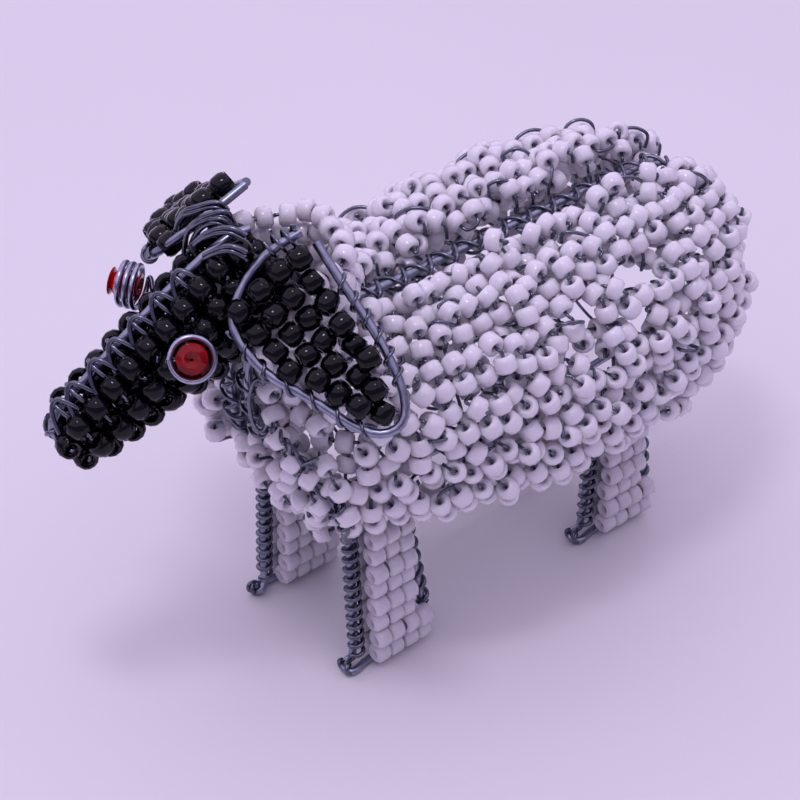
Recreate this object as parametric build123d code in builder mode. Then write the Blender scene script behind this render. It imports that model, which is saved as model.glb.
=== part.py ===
from build123d import *
import math
import os
import random
import numpy as np
from scipy.sparse import coo_matrix
from scipy.sparse.csgraph import connected_components
from scipy.spatial import cKDTree

# A sheep of glass seed beads and galvanised wire, made by hand: a frame of heavy wire, bound
# with thin wire, that carries loose curls of white beads for the fleece, rows of white beads
# on the legs, and black beads on the head and the ears. Millimetres, +Z up. The sheep faces
# -Y, its left side is +X, and it stands on Z = 0.

# Stock that the sheep is made of
bead_diameter = 3.2
bead_length = 2.5
bead_gap = 0.12
bead_corners = 4
frame_wire = 1.25
binding_wire = 0.5
wire_gap = 0.06
seat_gap = 0.2

# Body and fleece
chest_y = -10.0
body_length = 87.0
body_width = 48.0
back_height = 57.5
belly_height = 18.5
curl_pitch = 7.5
curl_turn = 3.1
curl_radius = 4.6
curl_rows = 6
parting_width = 6.0
parting_rise = 1.6
parting_steps = 3
parting_step = 1.5
crowding = 2.1
loose_beads = 1
breast_pitch = 3.7
breast_sweep = 5.5
tie_inset = 2.3
tie_runs = 14
fleece_seed = 7
fleece_rounds = 200
last_rounds = 60
gather_rounds = 20

# Legs
leg_spacing = 22.8
leg_stride = 45.8
leg_height = 25.0
leg_lean = 2.0
leg_draw = 1.5
foot_length = 13.6
leg_top_length = 10.2
leg_row_pitch = 3.0
leg_thickness = 3.9
leg_row_shift = 0.25
first_row_height = 2.55
toe_loop = 2.2
sole_flat = 0.12

# Head
poll_x = -1.0
poll_y = -11.0
poll_height = 73.5
head_length = 30.6
head_pitch = 40.0
head_turn = 14.0
head_rings = 10
nose_radius = 4.2
brow_radius = 6.4
ridge_proud = 0.9
nose_beads = 4
nose_ring_radius = 2.0
neck_radius = 8.6
neck_rows = 5
neck_row_pitch = 3.3
neck_low = (0.0, 1.0, 52.0)
neck_high = (0.2, -3.6, 67.5)

# Eyes
eye_coil = 6.3
eye_turns = 3
eye_turn_pitch = 0.95
eye_bead = 4.2
eye_bead_length = 3.8
eye_bead_sides = 10
eye_bead_bevel = 0.8
eye_bead_proud = 0.8
eye_bore = 0.9

# Ears
ear_length = 25.0
ear_root_width = 13.5
ear_rise = 5.2
left_ear_root = (6.0, 5.5, 8.2)
right_ear_root = (6.0, 1.8, 9.2)
right_ear_draw = 1.5
right_ear_set = 1.2
ear_wraps = 6
ear_root_wraps = 3
ear_root_turn = 1.5

# Binding
spine_wraps = 14
chest_wraps = 9
tail_wraps = 4
leg_wraps = 9
head_wraps = 8
wrap_points = 5
coil_points = 12
wire_sides = 6
binding_sides = 3

bead_half = bead_length / 2
bead_round = bead_diameter / 2
frame_half = frame_wire / 2
binding_half = binding_wire / 2
bead_pitch = bead_length + bead_gap
wrap_radius = (frame_half + binding_half + wire_gap) / math.cos(math.pi / wrap_points)

# Shares of the body's length, half width, back height and belly height, station by station
station_shares = [0.0, 0.03, 0.08, 0.16, 0.27, 0.42, 0.57, 0.73, 0.86, 0.94, 0.98, 1.0]
width_shares = [0.16, 0.46, 0.64, 0.78, 0.91, 0.98, 1.0, 0.98, 0.84, 0.60, 0.36, 0.10]
top_shares = [0.78, 0.86, 0.93, 0.97, 0.98, 1.0, 1.015, 1.025, 1.0, 0.94, 0.87, 0.78]
low_shares = [1.75, 1.50, 1.36, 1.27, 1.20, 1.12, 1.06, 1.06, 1.20, 1.48, 1.75, 1.98]
squareness_share = 0.84

# Breast, from its low end up: shares of the back's height, of the body's length, and of half its width
breast_shares = [(0.34, 0.120, 0.20), (0.43, 0.090, 0.29), (0.52, 0.060, 0.43), (0.61, 0.036, 0.45),
                 (0.70, 0.021, 0.44), (0.79, 0.012, 0.42), (0.88, 0.009, 0.36)]

# Holes in the fleece: share of the body's length, turn from the ridge, and radius in beads
hole_shares = [(0.655, 0.82, 1.0), (0.615, 0.83, 0.9), (0.517, 0.89, 0.75), (0.506, 1.29, 0.85),
               (0.569, 0.39, 0.6), (0.621, 1.25, 0.6), (0.075, 1.17, 1.0)]

# Places of the eyes on the head, along, deep and to the side, and the way that each one looks:
# left, ahead and up
eye_places = {"left": (13.5, 3.5, 8.8), "right": (14.0, 1.5, -8.4)}
eye_shares = {"left": (0.783, 0.305, 0.541), "right": (-0.65, 0.75, 0.1)}

# The way that each ear points: left, ahead and up, and the way that both are drawn back
ear_shares = {1: (0.689, -0.452, -0.566), -1: (-0.80, -0.24, -0.44)}
ear_back_shares = (0.036, -0.882, 0.469)

# Shares of an ear's length, and of half its width at the root: its loop of wire, and its rows
ear_loop_shares = [
    (-0.04, 1.20), (-0.10, 0.45), (-0.06, -0.31), (0.02, -0.93), (0.16, -1.11), (0.34, -1.15),
    (0.48, -1.00), (0.63, -0.84), (0.80, -0.72), (0.97, -0.48), (1.02, 0.0), (0.92, 0.42),
    (0.64, 0.82), (0.22, 1.10), (0.05, 1.26),
]
ear_row_shares = [(0.03, 0.38), (0.165, 0.03), (0.30, 0.0), (0.43, -0.04), (0.56, -0.04),
                  (0.69, -0.03), (0.81, -0.06), (0.925, -0.05)]
ear_row_counts = [3, 4, 4, 4, 3, 3, 2, 1]

# Routes of the heavy wires, as shares of half the body's width, its length and the back's height
spine_shares = [(0, 0.053, 1.115), (0, 0.103, 1.02), (0, 0.171, 0.972), (0, 0.274, 0.955),
                (0, 0.571, 0.964), (0, 0.869, 0.970), (0, 0.937, 0.925)]
tail_shares = [(0.01, 0.9435, 0.9185), (0.06, 0.992, 0.835), (0.142, 1.024, 0.730),
               (0.158, 1.031, 0.626), (0.133, 1.019, 0.522), (0.06, 0.972, 0.438)]
belly_shares = [(0.04, 0.955, 0.420), (0, 0.869, 0.391), (0, 0.571, 0.358), (0, 0.274, 0.375),
                (0, 0.137, 0.437), (0, 0.069, 0.539), (0, 0.027, 0.66)]
chest_shares = [(0.07, 0.005, 0.985), (0.085, -0.008, 0.887), (0.11, 0.004, 0.765),
                (0.25, 0.036, 0.704), (0.333, 0.058, 0.625), (0.39, 0.098, 0.487)]
tie_shares = {"shoulder": 0.265, "flank": 0.39, "loin": 0.565, "rump": 0.845}

# Named sets of beads, and the routes of the heavy wires
strung = {}
routes = {}
wraps = {}


def unit(v):
    return np.asarray(v, float) / np.linalg.norm(v)


def string(group, centre, along, across, free=False):
    strung.setdefault(group, []).append((np.asarray(centre), unit(along), np.asarray(across), free))


# Points at even steps along a run of straight wire
def spread(route, count, start=0.0, end=1.0):
    route = np.array(route, float)
    lengths = np.linalg.norm(np.diff(route, axis=0), axis=1)
    reach = np.concatenate([[0], np.cumsum(lengths)])
    at = reach[-1] * np.linspace(start, end, count)
    return np.stack([np.interp(at, reach, route[:, k]) for k in range(3)], axis=1)


# Thin wire wound round a run of heavy wire
def wound(route, turns, side, start=0.03, end=0.97, radius=wrap_radius, points=wrap_points):
    centres = spread(route, turns * points + 1, start, end)
    ways = np.gradient(centres, axis=0)
    path = []
    for k, (centre, way) in enumerate(zip(centres, ways)):
        first = unit(np.cross(unit(way), side))
        second = np.cross(unit(way), first)
        angle = 2 * math.pi * k / points
        path.append(centre + radius * (math.cos(angle) * first + math.sin(angle) * second))
    return path


# Body surface, on which the centres of the fleece beads lie, and its three directions
def body_point(y, turn):
    share = (y - chest_y) / body_length
    half_width = body_width / 2 * np.interp(share, station_shares, width_shares)
    top = back_height * np.interp(share, station_shares, top_shares)
    low = belly_height * np.interp(share, station_shares, low_shares)
    sine, cosine = math.sin(turn), math.cos(turn)
    x = half_width * math.copysign(abs(sine) ** squareness_share, sine)
    z = (top + low) / 2 + (top - low) / 2 * math.copysign(abs(cosine) ** squareness_share, cosine)
    return np.array([x, y, z])


def body_ways(y, turn):
    step = 0.05
    reach = step * curl_pitch
    down = unit(body_point(y, turn + step) - body_point(y, turn - step)) * np.sign(turn)
    back = body_point(y + reach, turn) - body_point(y - reach, turn)
    out = unit(np.cross(down, back)) * np.sign(turn)
    return out, down, unit(np.cross(out, down)) * np.sign(turn)


# Head directions
yaw, dip = math.radians(head_turn), math.radians(head_pitch)
left_way = np.array([math.cos(yaw), -math.sin(yaw), 0])
fore_way = np.array([-math.sin(yaw), -math.cos(yaw), 0])
up_way = np.array([0, 0, 1.0])
nose_way = math.cos(dip) * fore_way - math.sin(dip) * up_way
crown_way = math.sin(dip) * fore_way + math.cos(dip) * up_way


def head_point(along, depth, side):
    poll = np.array([poll_x, poll_y, poll_height])
    return poll + along * nose_way - depth * crown_way + side * left_way


# Rings of black beads round the head, open on top where the ridge wire lies
def string_head():
    inner = bead_round * math.cos(math.pi / 8)
    opening = 2 * wrap_radius + binding_wire + 2 * wire_gap
    for ring in range(head_rings):
        share = ring / (head_rings - 1)
        radius = brow_radius + (nose_radius - brow_radius) * max(0.0, share - 0.25) / 0.75
        step = 2 * math.atan((bead_half + bead_gap / 2) / (radius - inner))
        half_opening = math.asin(opening / 2 / radius)
        count = int((2 * math.pi - 2 * half_opening) / step)
        spare = (2 * math.pi - 2 * half_opening) / count
        for bead in range(count):
            angle = half_opening + spare * (bead + 0.5)
            depth = radius + ridge_proud - radius * math.cos(angle)
            centre = head_point(head_length * share, depth, radius * math.sin(angle))
            out = math.cos(angle) * crown_way + math.sin(angle) * left_way
            along = math.cos(angle) * left_way - math.sin(angle) * crown_way
            string("head_beads", centre, along, out, free=True)
    for bead in range(nose_beads):
        side = 1 if bead % 2 else -1
        depth = nose_radius + ridge_proud + (bead // 2 - 0.5) * bead_diameter
        centre = head_point(head_length + bead_diameter, depth, side * nose_ring_radius)
        string("head_beads", centre, left_way, crown_way, free=True)


def ear_ways(side):
    ahead_left, ahead, rise = ear_shares[side]
    out = unit(ahead_left * left_way + ahead * fore_way + rise * up_way)
    back_left, ahead, rise = ear_back_shares
    back = side * back_left * left_way + ahead * fore_way + rise * up_way
    return out, unit(back - out * np.dot(out, back))


def ear_point(side, along, across):
    out, back = ear_ways(side)
    if side > 0:
        root, draw = head_point(*left_ear_root), 0.0
    else:
        reach, depth, aside = right_ear_root
        root, draw = head_point(reach, depth, -aside), right_ear_draw
    rise = across * ear_root_width / 2 + ear_rise - draw
    return root + (along * ear_length - bead_round) * out + rise * back


def string_ear(name, side):
    out, back = ear_ways(side)
    for (along, across), count in zip(ear_row_shares, ear_row_counts):
        middle = ear_point(side, along, across)
        if side < 0:
            middle = middle - right_ear_set * np.cross(out, back)
        for bead in range(count):
            shift = (bead - (count - 1) / 2) * (bead_pitch + bead_gap)
            string(name, middle + shift * back, back, np.cross(out, back), free=True)


def leg_edge(side, toe_y, lean, height):
    share = height / leg_height
    x = side * (leg_spacing / 2 - leg_draw * share)
    width = foot_length + (leg_top_length - foot_length) * share
    return x, toe_y + lean * share, width


def string_leg(name, side, toe_y, lean):
    rows = int((leg_height - first_row_height) / leg_row_pitch) + 1
    start = wrap_radius + binding_half + seat_gap
    for row in range(rows):
        height = first_row_height + leg_row_pitch * row
        x, y, width = leg_edge(side, toe_y, lean, height)
        count = int((width - start - frame_half) / bead_pitch)
        offset = leg_thickness / 2 + (leg_row_shift if row % 2 else -leg_row_shift)
        for face in (1, -1):
            for bead in range(count):
                centre = (x + face * offset, y + start + bead_pitch * (bead + 0.5), height)
                string(name, centre, (0, 1, 0), (0, 0, 1))


# Curls of the fleece: arcs of three or four beads that bulge outwards, row under row
def string_fleece(rng):
    turns = np.linspace(0, math.pi, 181)
    girth = np.array([body_point(chest_y + body_length / 2, turn) for turn in turns])
    reach = np.concatenate([[0], np.cumsum(np.linalg.norm(np.diff(girth, axis=0), axis=1))])
    for side, side_name in ((1, "left"), (-1, "right")):
        for row in range(curl_rows):
            row_turn = np.interp(parting_width + curl_pitch * row, reach, turns)
            y = chest_y + rng.uniform(0.3, 1.3) * curl_turn
            while y < chest_y + body_length - bead_half:
                string_curl(rng, side, side_name, y, row_turn, reach[-1])
                y += curl_turn


def string_curl(rng, side, side_name, y, row_turn, half_girth):
    y = y + rng.uniform(-0.15, 0.15) * curl_turn
    turn = side * (row_turn + rng.uniform(-0.05, 0.05))
    here = body_point(y, turn)
    local_girth = math.pi * np.linalg.norm(body_point(y, turn * 1.03) - here) / abs(turn * 0.03)
    room = curl_pitch * local_girth / half_girth
    count = min(rng.choice([3, 3, 4, 4]), int((room + bead_half) / bead_pitch))
    if count < 1:
        return
    out, down, back = body_ways(y, turn)
    slant = math.radians(np.interp(abs(turn), [0, 0.8, 1.6], [5, 15, 38]) + rng.uniform(-22, 22))
    part = "shoulder" if y < leg_stride / 3 else "flank" if y < leg_stride + leg_lean else "haunch"
    way = math.cos(slant) * down + math.sin(slant) * back
    string_arc(rng, f"{side_name}_{part}_fleece", here, out, way, count)


def string_arc(rng, name, here, out, way, count):
    up = unit(out + rng.uniform(-0.3, 0.3) * np.cross(way, out))
    radius = curl_radius * rng.uniform(0.85, 1.15)
    lift = curl_radius * rng.uniform(0.02, 0.32) - radius
    step = (bead_pitch + bead_half * rng.uniform(0.1, 0.45)) / radius
    holes = [(body_point(chest_y + share * body_length, turn), beads * bead_diameter)
             for share, turn, beads in hole_shares]
    for bead in range(count):
        angle = (bead - (count - 1) / 2) * step
        centre = here + up * (lift + radius * math.cos(angle)) + way * radius * math.sin(angle)
        along = math.cos(angle) * way - math.sin(angle) * up
        along = unit(along + [rng.gauss(0, 0.16) for _ in range(3)])
        parted = abs(centre[0]) <= parting_width / 2 and centre[2] >= back_height * 0.87
        if not parted and all(np.linalg.norm(centre - middle) > reach for middle, reach in holes):
            string(name, centre, along, twist(rng, along), free=True)


# Breast, where the rows of curls lie across
def breast_point(across, rise):
    heights, fronts, widths = np.array(breast_shares).T
    width = body_width / 2 * np.interp(rise, heights, widths)
    front = chest_y + body_length * np.interp(rise, heights, fronts)
    return np.array([across * width, front + breast_sweep * across ** 2, rise * back_height])


def string_breast(rng):
    low, high = breast_shares[0][0], breast_shares[-1][0]
    rows = int((high - low) * back_height / breast_pitch) + 1
    for rise in np.linspace(low, high, rows):
        width = breast_point(1.0, rise)[0]
        reach = 0.5 * bead_diameter / width
        across = rng.uniform(0, reach) - 1
        while across < 1:
            count = rng.choice([1, 2, 2, 3])
            across += count * bead_pitch / 2 / width
            here = breast_point(across, rise)
            aside = unit(breast_point(across + reach, rise) - breast_point(across - reach, rise))
            rising = unit(breast_point(across, rise + 0.02) - breast_point(across, rise - 0.02))
            slant = math.radians(rng.uniform(-40, 40))
            way = math.cos(slant) * aside + math.sin(slant) * rising
            name = "left_shoulder_fleece" if here[0] > 0 else "right_shoulder_fleece"
            string_arc(rng, name, here, unit(np.cross(aside, rising)), way, count)
            across += (count * bead_pitch / 2 + bead_half) / width


def string_neck(rng):
    low, high = np.array(neck_low), np.array(neck_high)
    axis = unit(high - low)
    side = np.array([1.0, 0, 0])
    front = unit(np.cross(side, axis))
    for row in range(neck_rows):
        middle = low + axis * neck_row_pitch * (row + 0.8)
        count = int(2 * math.pi * neck_radius / (bead_pitch + bead_gap))
        for bead in range(count):
            angle = 2 * math.pi * (bead + row % 2 / 2) / count
            radius = neck_radius + bead_gap * 4 * math.sin(bead * 1.7 + row)
            out = math.cos(angle) * side + math.sin(angle) * front
            along = math.cos(angle) * front - math.sin(angle) * side
            along = unit(along + [rng.gauss(0, 0.15) for _ in range(3)])
            string("neck_fleece", middle + radius * out, along, twist(rng, along), free=True)


def twist(rng, along):
    other = (1.0, 0, 0) if abs(along[2]) > 0.9 else (0, 0, 1.0)
    first = unit(np.cross(other, along))
    angle = rng.uniform(0, math.pi)
    return math.cos(angle) * first + math.sin(angle) * np.cross(along, first)


# Heavy wires
def body_route(shares, side=1):
    sizes = np.array([side * body_width / 2, body_length, back_height])
    return [np.array(share) * sizes + (0, chest_y, 0) for share in shares]


def tie_route(y_share):
    y = chest_y + y_share * body_length
    spine, belly = np.array(body_route(spine_shares)), np.array(body_route(belly_shares)[::-1])
    reach = frame_half + binding_half + seat_gap
    top, bottom = body_point(y, 0), body_point(y, math.pi)
    middle = (top + bottom) / 2
    top_inset = top[2] - np.interp(y, spine[:, 1], spine[:, 2]) + reach
    bottom_inset = np.interp(y, belly[:, 1], belly[:, 2]) + reach - bottom[2]
    path = []
    for turn in np.linspace(0.1, 2 * math.pi - 0.1, tie_runs + 1):
        signed = turn if turn <= math.pi else turn - 2 * math.pi
        insets = [top_inset, tie_inset, tie_inset, bottom_inset]
        inset = np.interp(abs(signed), [0, 0.7, 2.4, math.pi], insets)
        point = body_point(y, signed)
        path.append(point - unit(point - middle) * inset)
    return path


def leg_routes(side, toe_y, lean):
    low = frame_half - sole_flat
    high = leg_height + 2 * frame_wire
    x, y, width = leg_edge(side, toe_y, lean, high)
    front = [(x, y, high)]
    rear = [(x, y + width, leg_height)]
    x, y, width = leg_edge(side, toe_y, lean, toe_loop)
    front.append((x, y, toe_loop))
    middle_x, middle_y, radius = x, toe_y - toe_loop / 2, toe_loop / 2
    loop = []
    for step in range(5):
        angle = math.pi * step / 4
        rise = frame_half if step == 0 else 0
        loop.append((middle_x - side * radius * math.cos(angle),
                     middle_y - radius * math.sin(angle), low + rise))
    sole = [(x + side * radius / 4, toe_y + frame_wire, low), (x, toe_y + width - frame_wire, low)]
    heel = [(x, toe_y + width, toe_loop)]
    return front, front + loop + sole + heel + rear


def ridge_route():
    end, deep = head_length, nose_radius
    points = [(-2 * frame_wire, 2 * frame_wire), (-frame_wire, 0), (end + frame_half, 0),
              (end + 3.0 * frame_wire, 0.45 * deep), (end + 3.1 * frame_wire, 1.4 * deep),
              (end + 2.2 * frame_wire, 1.85 * deep)]
    return [head_point(along, depth, 0) for along, depth in points]


def jaw_route():
    inner = bead_round + frame_half + seat_gap
    points = [(3 * frame_wire, 2 * brow_radius), (head_length / 4, 2 * brow_radius),
              (head_length, 2 * nose_radius)]
    return [head_point(along, ridge_proud + deep - inner, 0) for along, deep in points]


def lay_frame():
    routes["spine_wire"] = body_route(spine_shares)
    routes["tail_wire"] = body_route(tail_shares)
    routes["belly_wire"] = body_route(belly_shares)
    routes["left_chest_wire"] = body_route(chest_shares)
    routes["right_chest_wire"] = body_route(chest_shares, -1)
    routes["head_ridge_wire"] = ridge_route()
    routes["head_jaw_wire"] = jaw_route()
    for side, name in ((1, "left"), (-1, "right")):
        routes[f"{name}_ear_wire"] = [ear_point(side, *share) for share in ear_loop_shares]
    for name, leg in legs.items():
        routes[f"{name}_leg_wire"] = leg_routes(*leg)[1]


legs = {"front_left": (1, 0.0, 0.0), "front_right": (-1, 0.0, 0.0),
        "rear_left": (1, leg_stride, leg_lean), "rear_right": (-1, leg_stride, leg_lean)}


# Thin wire: the ties inside the fleece, the turns round the heavy wires, and the eye coils


def lay_bindings():
    across = (1.0, 0, 0)
    loose = wrap_radius + wire_gap
    for name, share in tie_shares.items():
        wraps[f"{name}_tie"] = [tie_route(share)]
    wraps["spine_lashing"] = [wound(routes["spine_wire"][2:], spine_wraps, across, 0.06)]
    wraps["tail_lashing"] = [wound(routes["tail_wire"][1:5], tail_wraps, across, 0.1, 0.9, loose)]
    for side in ("left", "right"):
        chest = routes[f"{side}_chest_wire"]
        wraps[f"{side}_chest_lashing"] = [wound(chest, chest_wraps, across, 0.12, 0.97, loose)]
        ear = routes[f"{side}_ear_wire"]
        looser = loose + 2 * wire_gap
        wraps[f"{side}_ear_lashing"] = [wound(ear[3:10], ear_wraps, across, 0.05, 0.95, looser),
                                        wound(ear[11:14], ear_wraps, across, 0.05, 0.95, looser),
                                        wound(ear[0:2], ear_root_wraps, across, 0.1, 0.9, ear_root_turn)]
    for name, leg in legs.items():
        wraps[f"{name}_leg_lashing"] = [wound(leg_routes(*leg)[0], leg_wraps, across, 0.1)]
    wraps["head_lashing"] = [wound(routes["head_ridge_wire"][1:3], head_wraps, left_way, 0.1)]


# An eye coil is pushed out along its own axis until it clears the beads of the head
def lay_eye(side):
    left, ahead, rise = eye_shares[side]
    axis = unit(left * left_way + ahead * fore_way + rise * up_way)
    first = unit(np.cross(axis, up_way))
    second = np.cross(axis, first)
    radius = (eye_coil - binding_wire) / 2
    path = []
    for k in range(eye_turns * coil_points + 1):
        turn = k / coil_points
        angle = 2 * math.pi * turn
        around = math.cos(angle) * first + math.sin(angle) * second
        path.append(radius * around + (turn - eye_turns / 2) * eye_turn_pitch * axis)
    path = np.array(path)
    beads = np.array([bead[0] for bead in strung["head_beads"]])
    room = math.hypot(bead_round, bead_half) + binding_half + wire_gap
    centre = head_point(*eye_places[side]) - eye_coil / 2 * axis
    while cKDTree(beads).query(centre + path)[0].min() < room:
        centre = centre + wire_gap * axis
    wraps[f"{side}_eye_coil"] = [list(centre + path)]
    return centre + eye_bead_proud * axis, axis, first


# Beads settle against each other, against the heavy wires and the bindings, until none overlap
def bead_points():
    points = []
    for end in (-1, 1):
        for corner in range(bead_corners):
            angle = 2 * math.pi / bead_corners * (corner + 0.25 * end)
            points.append((bead_round * math.cos(angle), bead_round * math.sin(angle), end * bead_half))
    return np.array(points)


def bead_faces(points):
    ways = [(0, 0, 1.0), (0, 0, -1.0)]
    for corner in range(bead_corners):
        low, high = points[corner], points[bead_corners + corner]
        low_next = points[(corner + 1) % bead_corners]
        high_next = points[bead_corners + (corner + 1) % bead_corners]
        ways.append(unit(np.cross(low_next - low, high - low)))
        ways.append(unit(np.cross(high_next - low_next, high - low_next)))
    return np.array(ways)


def settle(centres, along, across, free, obstacles, rounds):
    points = bead_points()
    faces = bead_faces(points)
    home = centres.copy()
    reach = math.hypot(bead_diameter, bead_length) + seat_gap
    turn = np.stack([across, np.cross(along, across), along], axis=2)
    corners = np.einsum("nij,kj->nki", turn, points)
    ways = np.einsum("nij,kj->nki", turn, faces)
    for step in range(rounds):
        pairs = cKDTree(centres).query_pairs(reach, output_type="ndarray")
        one, two = pairs[free[pairs[:, 0]] | free[pairs[:, 1]]].T
        between = centres[two] - centres[one]
        between /= np.linalg.norm(between, axis=1)[:, None]
        crossed = np.cross(along[one], along[two])
        length = np.linalg.norm(crossed, axis=1)[:, None]
        crossed = np.where(length > 0.05, crossed / np.maximum(length, 0.05), between)
        tests = np.concatenate([ways[one], ways[two], between[:, None], crossed[:, None]], axis=1)
        first = np.einsum("pkc,pvc->pkv", tests, corners[one] + centres[one][:, None])
        second = np.einsum("pkc,pvc->pkv", tests, corners[two] + centres[two][:, None])
        ahead = second.min(axis=2) - first.max(axis=2)
        behind = first.min(axis=2) - second.max(axis=2)
        apart = np.maximum(ahead, behind)
        best = apart.argmax(axis=1)
        row = np.arange(len(one))
        short = bead_gap / 2 - apart[row, best]
        push = tests[row, best] * np.where(ahead >= behind, 1, -1)[row, best][:, None]
        near = short > 0
        amount = push * np.minimum(short, bead_round / 3)[:, None]
        both = free[one] & free[two]
        share = np.where(both, 0.5, 1.0)[:, None]
        move = np.zeros_like(centres)
        squeezed = np.zeros(len(centres))
        np.add.at(move, one[near], (-amount * share * free[one][:, None])[near])
        np.add.at(move, two[near], (amount * share * free[two][:, None])[near])
        for start, run, radius, beads in obstacles:
            here = centres[beads]
            at = np.clip((here - start) @ run / (run @ run), 0, 1)
            away = here - (start + at[:, None] * run)
            distance = np.linalg.norm(away, axis=1)
            side = away / np.maximum(distance, wire_gap)[:, None]
            reach_here = np.einsum("nki,ni->nk", corners[beads], -side).max(axis=1)
            need = radius + reach_here + bead_gap / 2
            touch = (distance < need) & free[beads]
            np.maximum.at(squeezed, beads, (need - distance) * free[beads])
            give = np.minimum(need - distance, bead_round / 3)[:, None] * side
            move[beads[touch]] += give[touch]
        pull = 0.03 if step < rounds / 2 and rounds > last_rounds else 0
        centres = centres + 0.8 * move + pull * (home - centres) * free[:, None]
    print("Least gap between two beads of the fleece:", round(bead_gap / 2 - float(short.max()), 3))
    return centres, squeezed


def wire_obstacles(centres):
    obstacles = []
    tree = cKDTree(centres)
    wires = [(route, frame_half) for route in routes.values()]
    wires += [(path, binding_half) for paths in wraps.values() for path in paths]
    parting = np.array(routes["spine_wire"][2:-1]) + parting_rise * up_way
    wires.append((parting, parting_width / 3))
    for step in range(1, parting_steps + 1):
        aside = step * parting_step * (up_way + (1.0, 0, 0))
        wires.append((np.array(routes["spine_wire"][2:-1]) + aside, parting_step))
    for path, radius in wires:
        for start, end in zip(path, path[1:]):
            run = np.asarray(end) - np.asarray(start)
            reach = np.linalg.norm(run) / 2 + 2 * bead_diameter
            near = tree.query_ball_point(np.asarray(start) + run / 2, reach)
            obstacles.append((np.asarray(start), run, radius, np.array(near, int)))
    return obstacles


# Sets of beads that lie near each other, and the drawing in of a set that lies by itself
def bead_groups(centres):
    pairs = cKDTree(centres).query_pairs(bead_diameter + bead_round / 4, output_type="ndarray")
    joins = coo_matrix((np.ones(len(pairs)), pairs.T), shape=(len(centres), len(centres)))
    return connected_components(joins, directed=False)[1]


def gather(centres, loose):
    for step in range(gather_rounds):
        groups = bead_groups(centres)
        main = np.bincount(groups).argmax()
        for group in set(groups[loose]) - {main}:
            inside, outside = np.flatnonzero(groups == group), np.flatnonzero(groups != group)
            distances, nearest = cKDTree(centres[outside]).query(centres[inside])
            bead = distances.argmin()
            way = centres[outside[nearest[bead]]] - centres[inside[bead]]
            centres[inside[loose[inside]]] += way * (1 - bead_diameter / distances[bead])
    return centres


# Beads strung too close to their neighbours are left out, and the rest find their places
def settle_all():
    names = [name for name, beads in strung.items() for _ in beads]
    beads = [bead for group in strung.values() for bead in group]
    centres = np.array([bead[0] for bead in beads])
    free = np.array([bead[3] for bead in beads])
    tree = cKDTree(centres)
    kept = []
    for bead, centre in enumerate(centres):
        near = [other for other in tree.query_ball_point(centre, crowding) if other != bead]
        if not free[bead] or not any(not free[other] or other in kept for other in near):
            kept.append(bead)
    along = np.array([beads[bead][1] for bead in kept])
    across = np.array([beads[bead][2] for bead in kept])
    obstacles = wire_obstacles(centres[kept])
    loose = np.array(["fleece" in names[bead] for bead in kept])
    settled, squeezed = settle(centres[kept], along, across, free[kept], obstacles, fleece_rounds)
    settled = gather(settled, loose)
    obstacles = wire_obstacles(settled)
    settled, squeezed = settle(settled, along, across, free[kept], obstacles, last_rounds)
    groups = bead_groups(settled)
    strung.clear()
    for k, (bead, centre, group) in enumerate(zip(kept, settled, groups)):
        alone = loose[k] and (groups == group).sum() <= loose_beads
        if squeezed[k] < bead_gap / 2 and not alone:
            string(names[bead], centre, along[k], across[k])


# Solids
drawn = {}


def draw_beads(name, beads):
    places = [Location(Plane(origin=tuple(centre), x_dir=tuple(across), z_dir=tuple(along)))
              for centre, along, across, _ in beads]
    with BuildPart() as group:
        with Locations(*places):
            ConvexPolyhedron([tuple(point) for point in bead_points()])
    drawn[name] = group.part


def draw_wire(name, paths, width, sides):
    with BuildPart() as wire:
        for path in paths:
            with BuildLine() as line:
                Polyline(*[tuple(point) for point in path])
            with BuildSketch(Plane(origin=line.line @ 0, z_dir=line.line % 0)):
                RegularPolygon(width / 2, sides)
            sweep(transition=Transition.RIGHT)
        if name.endswith("_leg_wire"):
            split(bisect_by=Plane.XY, keep=Keep.TOP)
    drawn[name] = wire.part


def draw_eye_bead(name, centre, axis, first):
    with BuildPart() as bead:
        with BuildSketch(Plane(origin=tuple(centre), x_dir=tuple(first), z_dir=tuple(axis))):
            RegularPolygon(eye_bead / 2, eye_bead_sides)
        extrude(amount=eye_bead_length / 2, both=True)
        chamfer(bead.edges().filter_by(GeomType.LINE).filter_by(Axis(tuple(centre), tuple(axis)), reverse=True),
                eye_bead_bevel)
        with BuildSketch(Plane(origin=tuple(centre), x_dir=tuple(first), z_dir=tuple(axis))):
            RegularPolygon(eye_bore / 2, eye_bead_sides)
        extrude(amount=eye_bead_length, both=True, mode=Mode.SUBTRACT)
    drawn[name] = bead.part


def print_least_gap(name, path):
    points = spread(path, 40 * len(path))
    step = np.linalg.norm(points[1] - points[0])
    apart = int(math.pi * binding_wire / step) + 1
    gaps = [np.linalg.norm(points[k + apart:] - points[k], axis=1).min() for k in range(len(points) - apart)]
    print("Least gap of", name, "to itself:", round(float(min(gaps)) - binding_wire, 2))


os.makedirs("parts", exist_ok=True)
chance = random.Random(fleece_seed)
lay_frame()
lay_bindings()
string_head()
for side_name, side in (("left", 1), ("right", -1)):
    string_ear(f"{side_name}_ear_beads", side)
    draw_eye_bead(f"{side_name}_eye_bead", *lay_eye(side_name))
for leg_name, leg in legs.items():
    string_leg(f"{leg_name}_leg_beads", *leg)
string_fleece(chance)
string_breast(chance)
string_neck(chance)
settle_all()
print("Beads:", sum(len(beads) for beads in strung.values()))

for name, beads in strung.items():
    draw_beads(name, beads)
for name, route in routes.items():
    draw_wire(name, [route], frame_wire, wire_sides)
for name, paths in wraps.items():
    draw_wire(name, paths, binding_wire, binding_sides)
    for path in paths if not name.endswith("_tie") else []:
        print_least_gap(name, path)

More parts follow.
